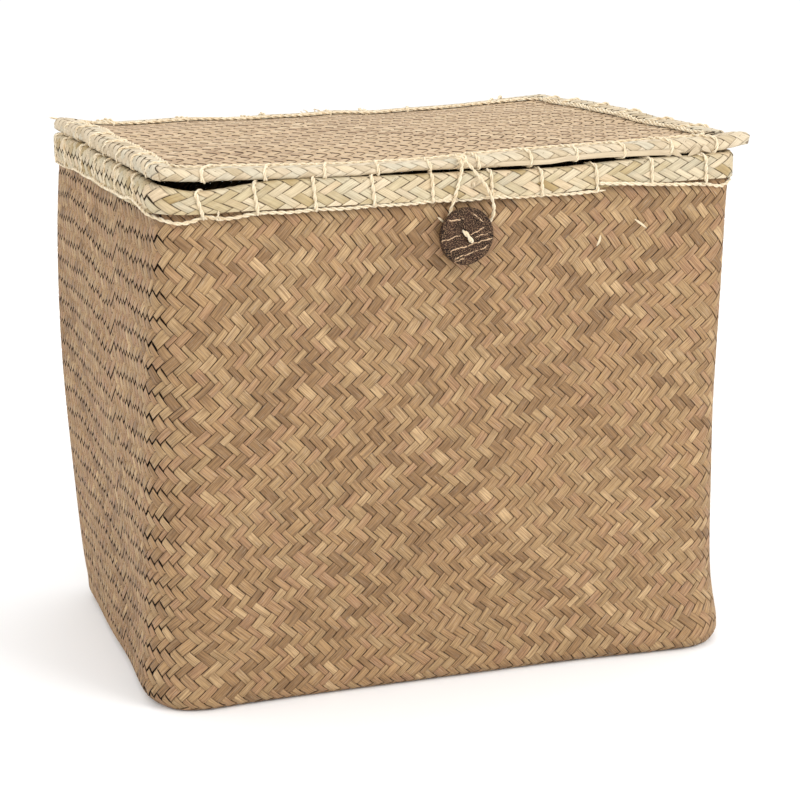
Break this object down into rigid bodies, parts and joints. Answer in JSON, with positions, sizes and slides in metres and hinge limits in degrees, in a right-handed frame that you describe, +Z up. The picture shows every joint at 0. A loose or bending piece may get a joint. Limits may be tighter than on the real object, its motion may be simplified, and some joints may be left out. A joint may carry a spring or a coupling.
{
  "type": "woven lidded box",
  "caption": "Rectangular plaited seagrass box with a folded palm-leaf rim, a flat lid hinged by twine ties and a coconut disc with a twine loop as its catch.",
  "frame": {"origin": "middle of the flat base, on the surface that the box stands on", "axes": "+Z up, +X to the right seen from the front, +Y from the button side to the hinge side"},
  "size_m": [0.4519, 0.343, 0.3983],
  "materials": {
    "seagrass": "plaited flat seagrass strips, dry and slightly glossy",
    "pale_seagrass": "plaited flat seagrass strips, sun-bleached",
    "palm_leaf": "plaited pale palm-leaf strips, satin",
    "cane": "split cane",
    "twine": "two-ply twisted fibre twine",
    "coconut_shell": "ground and lightly polished coconut shell"
  },
  "bodies": {
    "basket": {"woven_body": "seagrass", "rim_hoop": "cane", "rim_band": "palm_leaf", "rim_lashing": "twine", "hinge_tie_1": "twine", "hinge_tie_2": "twine", "hinge_tie_3": "twine", "hinge_tie_4": "twine"},
    "lid": {"lid_panel": "pale_seagrass", "lid_hoop": "cane", "lid_border_front": "palm_leaf", "lid_border_right": "palm_leaf", "lid_border_back": "palm_leaf", "lid_border_left": "palm_leaf", "lid_lashing": "twine", "closure_knot": "twine"},
    "loop": {"closure_loop": "twine"},
    "button": {"coconut_button": "coconut_shell", "button_twine": "twine"}
  },
  "joints": [
    {"name": "lid_hinge", "type": "hinge", "parent": "basket", "child": "lid", "pos_m": [0, 0.1685, 0.38365], "axis": [-1, 0, 0], "range_deg": [0, 180], "deforming": ["hinge_tie_1", "hinge_tie_2", "hinge_tie_3", "hinge_tie_4"]},
    {"name": "loop_swing", "type": "hinge", "parent": "lid", "child": "loop", "pos_m": [-0.00264, -0.1665, 0.3903], "axis": [-1, 0, 0], "range_deg": [-180, 0], "deforming": ["closure_loop"]},
    {"name": "button_turn", "type": "hinge", "parent": "basket", "child": "button", "pos_m": [-0.00176, -0.168, 0.3374], "axis": [0, 1, 0], "range_deg": [-90, 90]}
  ],
  "couplings": [
    {"joint": "loop_swing", "follows": "lid_hinge", "ratio": -1}
  ]
}
